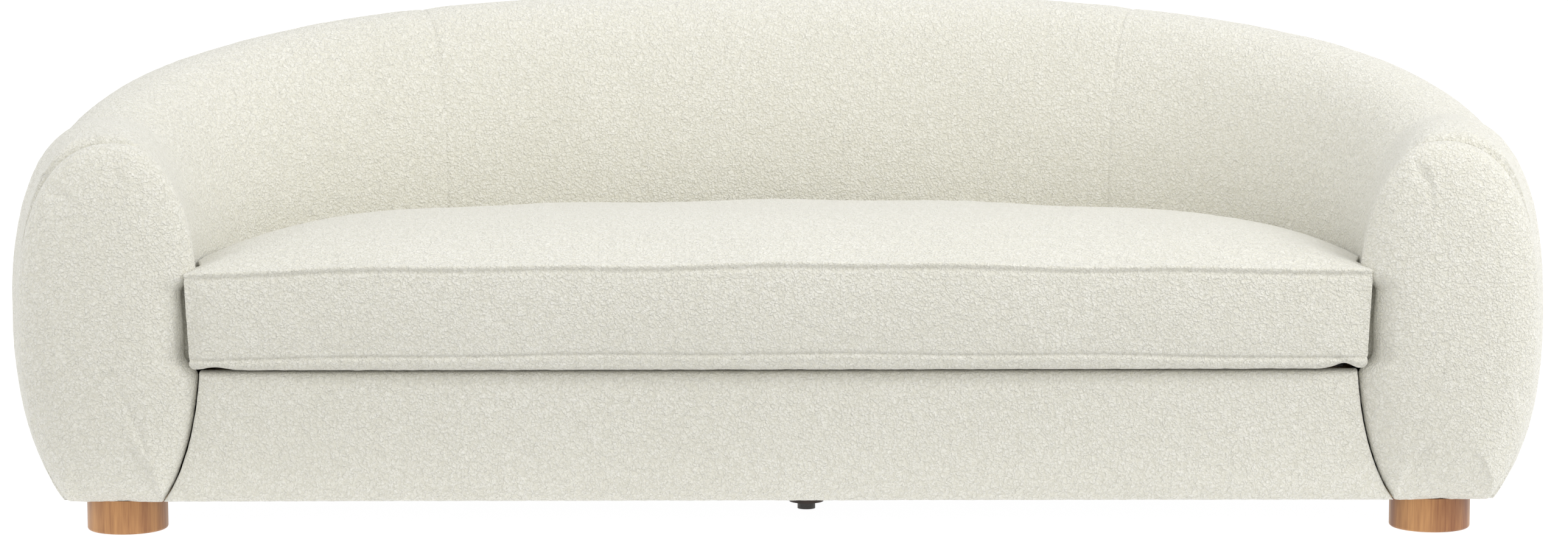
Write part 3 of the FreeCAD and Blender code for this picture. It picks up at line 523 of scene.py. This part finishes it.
def border_rings(edge, outward, low, zones):
    """Rings down the bowed border, each with the points that the cloth simulation holds still."""
    _, open_side, at_corner, behind = zones
    pinned = (behind > 0.5) | (at_corner > 0.6)
    seam = seam_height(edge[:, 0], edge[:, 1])
    tall = CUSHION["border"]
    levels = graded(tall, GRID, fine=(0.0, tall - 0.008))[1:] / tall
    for level in levels:
        bow = CUSHION["bulge"] * (0.2 + 0.8 * open_side) * math.sin(math.pi * level) ** 0.8
        bow = bow * (1 - np.maximum(behind, at_corner)) - CUSHION["corner_in"] * at_corner * level
        ring = np.column_stack([edge + outward * bow[:, None], seam + (low - seam) * level])
        yield ring, pinned | (level == levels[-1])


def turn_rings(edge, outward, low, at_corner):
    """Rings round the rounded lower edge."""
    slid = edge - outward * (CUSHION["corner_in"] * at_corner)[:, None]
    for turn in np.linspace(0, math.pi / 2, 8)[1:]:
        tuck = CUSHION["turn"] * (1 - math.cos(turn))
        ring = np.column_stack([slid - outward * tuck, low - CUSHION["turn"] * math.sin(turn)])
        yield ring, np.ones(len(edge), bool)


def cushion_underside(across, deep, inner):
    """Points inside the flat bottom panel, lifted a little behind the front corners."""
    under = patch(across, deep, CUSHION["turn"]).reshape(-1, 2)[inner]
    near_front = under[:, 1] - CUSHION["front_y"]
    sunk = CUSHION["base"] + lift(under[:, 0]) * ramp(0.09, 0.01, near_front)
    return np.column_stack([under, sunk])


def make_cushion():
    """Boxed seat cushion: crowned top, upright border, rounded lower edge, flat bottom."""
    wide = 2 * CUSHION["half"]
    across = graded(wide, GRID, fine=(0.0, wide)) / wide
    deep = graded(CUSHION["deep"], GRID, fine=(0.0, CUSHION["deep"])) / CUSHION["deep"]
    rows, columns = len(deep), len(across)
    plan = patch(across, deep, 0.0)
    loop = np.array(loop_of(rows, columns))
    edge = plan.reshape(-1, 2)[loop]
    inward = patch(across, deep, 0.01).reshape(-1, 2)[loop] - edge
    outward = -inward / np.linalg.norm(inward, axis=1)[:, None]
    zones = border_zones(edge)
    low = CUSHION["base"] + lift(edge[:, 0]) * zones[0] + CUSHION["turn"]

    points, faces = [cushion_top(plan, edge, deep)], grid_faces(rows, columns)
    held, previous, first = list(loop), loop, rows * columns
    for rings in (border_rings(edge, outward, low, zones), turn_rings(edge, outward, low, zones[2])):
        for ring, still in rings:
            points.append(ring)
            faces += band(previous, first)
            previous = np.arange(first, first + len(loop))
            held += list(previous[still])
            first += len(loop)

    inner = np.setdiff1d(np.arange(rows * columns), loop)
    number = np.zeros(rows * columns, int)
    number[loop] = previous
    number[inner] = first + np.arange(len(inner))
    points.append(cushion_underside(across, deep, inner))
    faces += [tuple(int(number[k]) for k in quad) for quad in grid_faces(rows, columns, flip=True)]
    held += list(range(first, first + len(inner)))
    return make_mesh("seat_cushion", np.concatenate(points), faces), [int(k) for k in held]


def cushion_seams(piece):
    """Pipe-like ridge on the top seam with the border tucked in under it, and the hem seam below."""
    points = coordinates(piece)
    x, z = points[:, 0], points[:, 2]
    side = side_share(piece)
    above = z - seam_height(x, points[:, 1])
    mid = 1 - 0.7 * ramp(CUSHION["half"] - 0.03, CUSHION["half"], np.abs(x))
    ridge = 0.0020 * np.exp(-((above - 0.0005) / 0.0030) ** 2)
    tuck = 0.0030 * np.exp(-((above + 0.0065) / 0.0030) ** 2) * side
    below = z - CUSHION["base"] - hem_height(x)
    hem = 0.0030 * np.exp(-(below / 0.0024) ** 2) * side
    band_edge = 0.0012 * np.exp(-((below + 0.007) / 0.005) ** 2) * side
    edge = ramp(0.03, 0.0, edge_gap(points))
    swell(piece, (ridge - tuck - hem + band_edge) * edge * mid)


def side_share(piece):
    """1 where the surface is upright, 0 where it is level."""
    return np.clip(1.4 - 2.0 * np.abs(normals(piece)[:, 2]), 0, 1)


def edge_gap(points):
    """Distance in plan from each point to the cushion's outline, 0 outside it."""
    across = np.linspace(0, 1, 700)
    deep = np.linspace(0, 1, 300)
    left = side_line(deep, 0.0)
    front = np.column_stack([CUSHION["half"] * (2 * across - 1), np.full(700, CUSHION["front_y"])])
    rear_run = CUSHION["corner_run"] + (LENGTH - 2 * CUSHION["corner_run"]) * across
    outline = np.concatenate([front, left, left * [-1, 1], seat_wall(rear_run, 0.0)])
    tree = KDTree(len(outline))
    for k, spot in enumerate(outline):
        tree.insert((spot[0], spot[1], 0), k)
    tree.balance()
    return np.array([tree.find((p[0], p[1], 0))[2] for p in points])


def band(previous, first):
    """Quads between one edge loop and the next ring of points."""
    count = len(previous)
    return [(int(previous[(k + 1) % count]), int(previous[k]), first + k, first + (k + 1) % count)
            for k in range(count)]


# Cloth -------------------------------------------------------------------------------------------

def puff(jobs):
    """Blow several padded pieces up together as cloth, then limit how far each point has moved."""
    scene = bpy.context.scene
    scene.frame_start, scene.frame_end = 1, SIM_FRAMES
    rest = {}
    for piece, held, pressure, _ in jobs:
        rest[piece.name] = coordinates(piece)
        group = piece.vertex_groups.new(name="held")
        group.add(held, 1.0, "REPLACE")
        cloth = piece.modifiers.new("cloth", "CLOTH")
        settings = cloth.settings
        settings.quality, settings.mass = 5, 0.35
        settings.tension_stiffness = settings.compression_stiffness = 40
        settings.shear_stiffness, settings.bending_stiffness = 20, 2.0
        settings.use_pressure, settings.uniform_pressure_force = True, pressure
        settings.vertex_group_mass = "held"
        settings.effector_weights.gravity = 0
        cloth.collision_settings.use_collision = False
        cloth.point_cache.frame_start, cloth.point_cache.frame_end = 1, SIM_FRAMES
    for step in range(1, SIM_FRAMES + 1):
        scene.frame_set(step)
    for piece, _, _, cap in jobs:
        apply_modifiers(piece)
        moved = coordinates(piece) - rest[piece.name]
        far = np.linalg.norm(moved, axis=1)
        limit = cap * np.tanh(far / cap) / np.maximum(far, 1e-9)
        set_coordinates(piece, rest[piece.name] + moved * limit[:, None])
        piece.vertex_groups.clear()
        piece.modifiers.new("finer", "SUBSURF").levels = 1
        apply_modifiers(piece)
    scene.frame_set(1)


# Materials ---------------------------------------------------------------------------------------

def new_material(name, roughness=0.6, metallic=0.0):
    made = bpy.data.materials.new(name)
    made.use_nodes = True
    shader = made.node_tree.nodes["Principled BSDF"]
    shader.inputs["Roughness"].default_value = roughness
    shader.inputs["Metallic"].default_value = metallic
    return made, made.node_tree, shader


def node(tree, kind, links=(), **values):
    """A node with its sockets set by name or number, and links given as (socket, source output)."""
    made = tree.nodes.new(kind)
    for key, value in values.items():
        if hasattr(made, key):
            setattr(made, key, value)
        else:
            made.inputs[key.replace("_", " ")].default_value = value
    for socket, source in links:
        tree.links.new(source, made.inputs[socket])
    return made


def object_space(tree, scale=(1, 1, 1)):
    place = node(tree, "ShaderNodeTexCoord")
    mapping = node(tree, "ShaderNodeMapping", [("Vector", place.outputs["Object"])])
    mapping.inputs["Scale"].default_value = scale
    return mapping.outputs["Vector"]


def two_tone(tree, shader, factor, dark, light, low=0.3, high=0.7):
    tones = node(tree, "ShaderNodeValToRGB", [("Fac", factor)])
    tones.color_ramp.elements[0].position, tones.color_ramp.elements[1].position = low, high
    tones.color_ramp.elements[0].color = (*dark, 1)
    tones.color_ramp.elements[1].color = (*light, 1)
    tree.links.new(tones.outputs["Color"], shader.inputs["Base Color"])


def bump(tree, shader, height, strength, distance):
    made = node(tree, "ShaderNodeBump", [("Height", height)], Strength=strength, Distance=distance)
    tree.links.new(made.outputs["Normal"], shader.inputs["Normal"])


def math_node(tree, operation, first, second):
    made = tree.nodes.new("ShaderNodeMath")
    made.operation = operation
    for socket, value in zip(made.inputs, (first, second)):
        if isinstance(value, (int, float)):
            socket.default_value = value
        else:
            tree.links.new(value, socket)
    return made.outputs["Value"]


def boucle_material():
    """Ivory looped wool: curled loops a few millimetres across, with painted shade between them, soft at
    grazing light.
    """
    made, tree, shader = new_material("boucle", 0.95)
    space = object_space(tree)
    warp = node(tree, "ShaderNodeTexNoise", [("Vector", space)], Scale=120.0, Detail=2.0)
    moved = node(tree, "ShaderNodeVectorMath", [(0, warp.outputs["Color"])], operation="SCALE")
    moved.inputs["Scale"].default_value = 0.007
    bent = node(tree, "ShaderNodeVectorMath", [(0, space), (1, moved.outputs["Vector"])], operation="ADD")
    curls = node(tree, "ShaderNodeTexVoronoi", [("Vector", bent.outputs["Vector"])], Scale=270.0)
    small = node(tree, "ShaderNodeTexVoronoi", [("Vector", bent.outputs["Vector"])], Scale=520.0)
    fuzz = node(tree, "ShaderNodeTexNoise", [("Vector", space)], Scale=900.0, Detail=3.0)
    clumps = node(tree, "ShaderNodeTexNoise", [("Vector", space)], Scale=70.0, Detail=3.0)
    wide = node(tree, "ShaderNodeTexNoise", [("Vector", space)], Scale=4.0, Detail=3.0)
    loop = math_node(tree, "SUBTRACT", 1.0, curls.outputs["Distance"])
    little = math_node(tree, "MULTIPLY", small.outputs["Distance"], -0.45)
    height = math_node(tree, "ADD", loop, little)
    height = math_node(tree, "ADD", height, math_node(tree, "MULTIPLY", clumps.outputs["Fac"], 0.55))
    height = math_node(tree, "ADD", height, math_node(tree, "MULTIPLY", fuzz.outputs["Fac"], 0.25))
    bump(tree, shader, height, 0.85, 0.0028)
    # Painted shade: the colour is darker where the loops are low, between them; the wide noise adds random
    # tone.
    painted_shade_and_tone = math_node(tree, "MULTIPLY", height, 0.48)
    painted_shade_and_tone = math_node(tree, "ADD", painted_shade_and_tone, math_node(tree, "MULTIPLY", wide.outputs["Fac"], 0.12))
    two_tone(tree, shader, painted_shade_and_tone, (0.785, 0.765, 0.665), (0.945, 0.93, 0.86), 0.28, 0.66)
    shader.inputs["Sheen Weight"].default_value = 0.62
    shader.inputs["Sheen Roughness"].default_value = 0.5
    shader.inputs["Sheen Tint"].default_value = (1.0, 1.0, 1.0, 1)
    shader.inputs["Specular IOR Level"].default_value = 0.15
    return made


def wood_material(name, dark, light, roughness, grain=(1, 1, 0.06), rings=38.0, coat=0.0):
    """Wood whose grain runs along the axis with the small scale."""
    made, tree, shader = new_material(name, roughness)
    space = object_space(tree, grain)
    bands = node(tree, "ShaderNodeTexNoise", [("Vector", space)], Scale=rings, Detail=5.0, Roughness=0.6)
    fine = node(tree, "ShaderNodeTexNoise", [("Vector", space)], Scale=rings * 14, Detail=3.0)
    mixed = math_node(tree, "ADD", math_node(tree, "MULTIPLY", bands.outputs["Fac"], 0.75),
                      math_node(tree, "MULTIPLY", fine.outputs["Fac"], 0.25))
    two_tone(tree, shader, mixed, dark, light, 0.36, 0.62)
    bump(tree, shader, fine.outputs["Fac"], 0.15, 0.0004)
    shader.inputs["Coat Weight"].default_value = coat
    shader.inputs["Coat Roughness"].default_value = 0.25
    return made


def cloth_material(name, dark, light, scale, roughness=0.9):
    """Plain woven or felted cloth."""
    made, tree, shader = new_material(name, roughness)
    space = object_space(tree)
    fibres = node(tree, "ShaderNodeTexNoise", [("Vector", space)], Scale=scale, Detail=4.0)
    cells = node(tree, "ShaderNodeTexVoronoi", [("Vector", space)], Scale=scale * 1.6)
    mixed = math_node(tree, "ADD", math_node(tree, "MULTIPLY", fibres.outputs["Fac"], 0.6),
                      math_node(tree, "MULTIPLY", cells.outputs["Distance"], 0.5))
    two_tone(tree, shader, mixed, dark, light)
    bump(tree, shader, mixed, 0.4, 0.0008)
    shader.inputs["Sheen Weight"].default_value = 0.2
    return made


def metal_material(name, dark, light, roughness):
    made, tree, shader = new_material(name, roughness, 1.0)
    space = object_space(tree, (1, 1, 6))
    marks = node(tree, "ShaderNodeTexNoise", [("Vector", space)], Scale=180.0, Detail=3.0)
    two_tone(tree, shader, marks.outputs["Fac"], dark, light)
    bump(tree, shader, marks.outputs["Fac"], 0.1, 0.0002)
    return made


def plastic_material(name, dark, light, roughness):
    made, tree, shader = new_material(name, roughness)
    space = object_space(tree)
    grain = node(tree, "ShaderNodeTexNoise", [("Vector", space)], Scale=700.0, Detail=2.0)
    two_tone(tree, shader, grain.outputs["Fac"], dark, light)
    bump(tree, shader, grain.outputs["Fac"], 0.2, 0.0003)
    return made


MATERIALS = {
    "boucle": boucle_material(),
    "oak": wood_material("oak", (0.235, 0.082, 0.027), (0.53, 0.265, 0.095), 0.42, rings=26.0, coat=0.15),
    "dark_wood": wood_material("dark_wood", (0.018, 0.011, 0.008), (0.05, 0.03, 0.02), 0.5),
    "glide_plastic": plastic_material("glide_plastic", (0.02, 0.017, 0.013), (0.05, 0.042, 0.035), 0.4),
    "foam": cloth_material("foam", (0.72, 0.66, 0.45), (0.86, 0.81, 0.62), 500.0),
    "wadding": cloth_material("wadding", (0.78, 0.78, 0.76), (0.92, 0.92, 0.90), 160.0),
    "base_cloth": cloth_material("base_cloth", (0.012, 0.012, 0.012), (0.035, 0.035, 0.035), 600.0),
    "steel": metal_material("steel", (0.42, 0.42, 0.43), (0.62, 0.62, 0.63), 0.35),
    "fibreboard": cloth_material("fibreboard", (0.20, 0.13, 0.07), (0.33, 0.22, 0.13), 300.0),
    "plywood": wood_material("plywood", (0.50, 0.35, 0.20), (0.70, 0.53, 0.34), 0.6, (0.08, 1, 1), 22.0),
    "frame_wood": wood_material("frame_wood", (0.46, 0.30, 0.16), (0.64, 0.46, 0.27), 0.6, (0.06, 1, 1)),
    "zip_tape": cloth_material("zip_tape", (0.60, 0.57, 0.50), (0.76, 0.73, 0.66), 900.0),
    "zip_metal": metal_material("zip_metal", (0.45, 0.44, 0.41), (0.66, 0.65, 0.62), 0.3),
}


def dress_cad_nodes():
    """Give each CAD node its slot's material."""
    slots = {entry["node"]: entry["material_slot"] for entry in frame["record"]["subparts"]}
    for name, item in frame["nodes"].items():
        item.data.materials.clear()
        item.data.materials.append(MATERIALS[slots[name]])


# Studio ------------------------------------------------------------------------------------------

def add_area(name, light):
    data = bpy.data.lights.new(name, "AREA")
    data.shape, data.size, data.size_y = "RECTANGLE", light["size"][0], light["size"][1]
    data.energy = light["watts"]
    item = bpy.data.objects.new(name, data)
    item.location = light["place"]
    aim = Vector(light["aim"]) - Vector(light["place"])
    item.rotation_euler = aim.to_track_quat("-Z", "Y").to_euler()
    bpy.context.scene.collection.objects.link(item)


def floor_paint():
    """Glowing white, with a painted shadow: the glow is turned down in a patch in front of the sofa as wide
    as the sofa.
    """
    paint, tree, shader = new_material("floor", 0.9)
    shader.inputs["Base Color"].default_value = (0.22, 0.22, 0.22, 1)
    place = node(tree, "ShaderNodeTexCoord")
    axes = node(tree, "ShaderNodeSeparateXYZ", [(0, place.outputs["Object"])])
    side = math_node(tree, "ABSOLUTE", axes.outputs["X"], 0.0)
    bright = 0.0
    # Painted shadow: 0 in the patch in front of the sofa, 1 away from it, where the floor glows fully.
    for source, zone in ((axes.outputs["Y"], "front"), (axes.outputs["Y"], "far"), (side, "side")):
        part = node(tree, "ShaderNodeMapRange", [("Value", source)], interpolation_type="SMOOTHSTEP")
        part.inputs["From Min"].default_value, part.inputs["From Max"].default_value = PAINTED_FLOOR_SHADOW[zone]
        bright = math_node(tree, "MAXIMUM", bright, part.outputs["Result"])
    glow = math_node(tree, "ADD", math_node(tree, "MULTIPLY", bright, PAINTED_FLOOR_SHADOW["white"]), PAINTED_FLOOR_SHADOW["floor"])
    shader.inputs["Emission Color"].default_value = (1.0, 1.0, 1.0, 1)
    tree.links.new(glow, shader.inputs["Emission Strength"])
    return paint


def studio():
    """White surround and a glowing white floor with a painted shadow in front of the sofa, a broad light from
    the upper right and one overhead.
    """
    scene = bpy.context.scene
    world = bpy.data.worlds.new("studio")
    scene.world = world
    world.use_nodes = True
    world.node_tree.nodes["Background"].inputs["Color"].default_value = (1.0, 1.0, 1.0, 1)
    world.node_tree.nodes["Background"].inputs["Strength"].default_value = 1.0
    floor = make_mesh("floor", [(-30, -30, 0), (30, -30, 0), (30, 30, 0), (-30, 30, 0)], [(0, 1, 2, 3)])
    floor.data.materials.append(floor_paint())
    add_area("key", KEY)
    add_area("overhead", OVERHEAD)
    scene.view_settings.view_transform = "Standard"


def camera():
    data = bpy.data.cameras.new("camera")
    data.sensor_width, data.lens = 36.0, CAMERA["lens"]
    data.shift_x = CAMERA["shift"]
    item = bpy.data.objects.new("camera", data)
    item.location = CAMERA["place"]
    item.rotation_euler = Euler((math.radians(90 - CAMERA["down"]), math.radians(CAMERA["tilt"]), 0.0))
    bpy.context.scene.collection.objects.link(item)
    bpy.context.scene.camera = item


# Assembly ----------------------------------------------------------------------------------------

def main():
    camera()
    studio()
    dress_cad_nodes()
    roll = make_roll()
    left_pad, left_held = make_pad("arm_pad_left", -1)
    right_pad, right_held = make_pad("arm_pad_right", 1)
    rail, rail_held = make_rail()
    cushion, cushion_held = make_cushion()
    puff([(left_pad, left_held, 4.0, 0.006), (right_pad, right_held, 4.0, 0.006),
          (rail, rail_held, 3.0, 0.004), (cushion, cushion_held, 4.0, 0.012)])
    nest_pad(left_pad, -1)
    nest_pad(right_pad, 1)
    cushion_seams(cushion)
    for seed, piece in enumerate((left_pad, right_pad, rail, cushion), start=31):
        loops(piece, seed)
    finish_piece(roll, "frame", "boucle", *[f"roll_{layer}_{part}" for layer in ("cover", "foam")
                                            for part in ("left", "back", "right")])
    for pad, side in ((left_pad, "left"), (right_pad, "right")):
        finish_piece(pad, "frame", "boucle", f"arm_pad_cover_{side}", f"arm_pad_foam_{side}",
                     f"arm_facing_board_{side}")
    finish_piece(rail, "frame", "boucle", "front_rail_cover", "front_rail_foam")
    finish_piece(cushion, "cushion", "boucle", "cushion_top_panel", "cushion_border",
                 "cushion_bottom_panel", "cushion_wrap", "cushion_foam")


main()
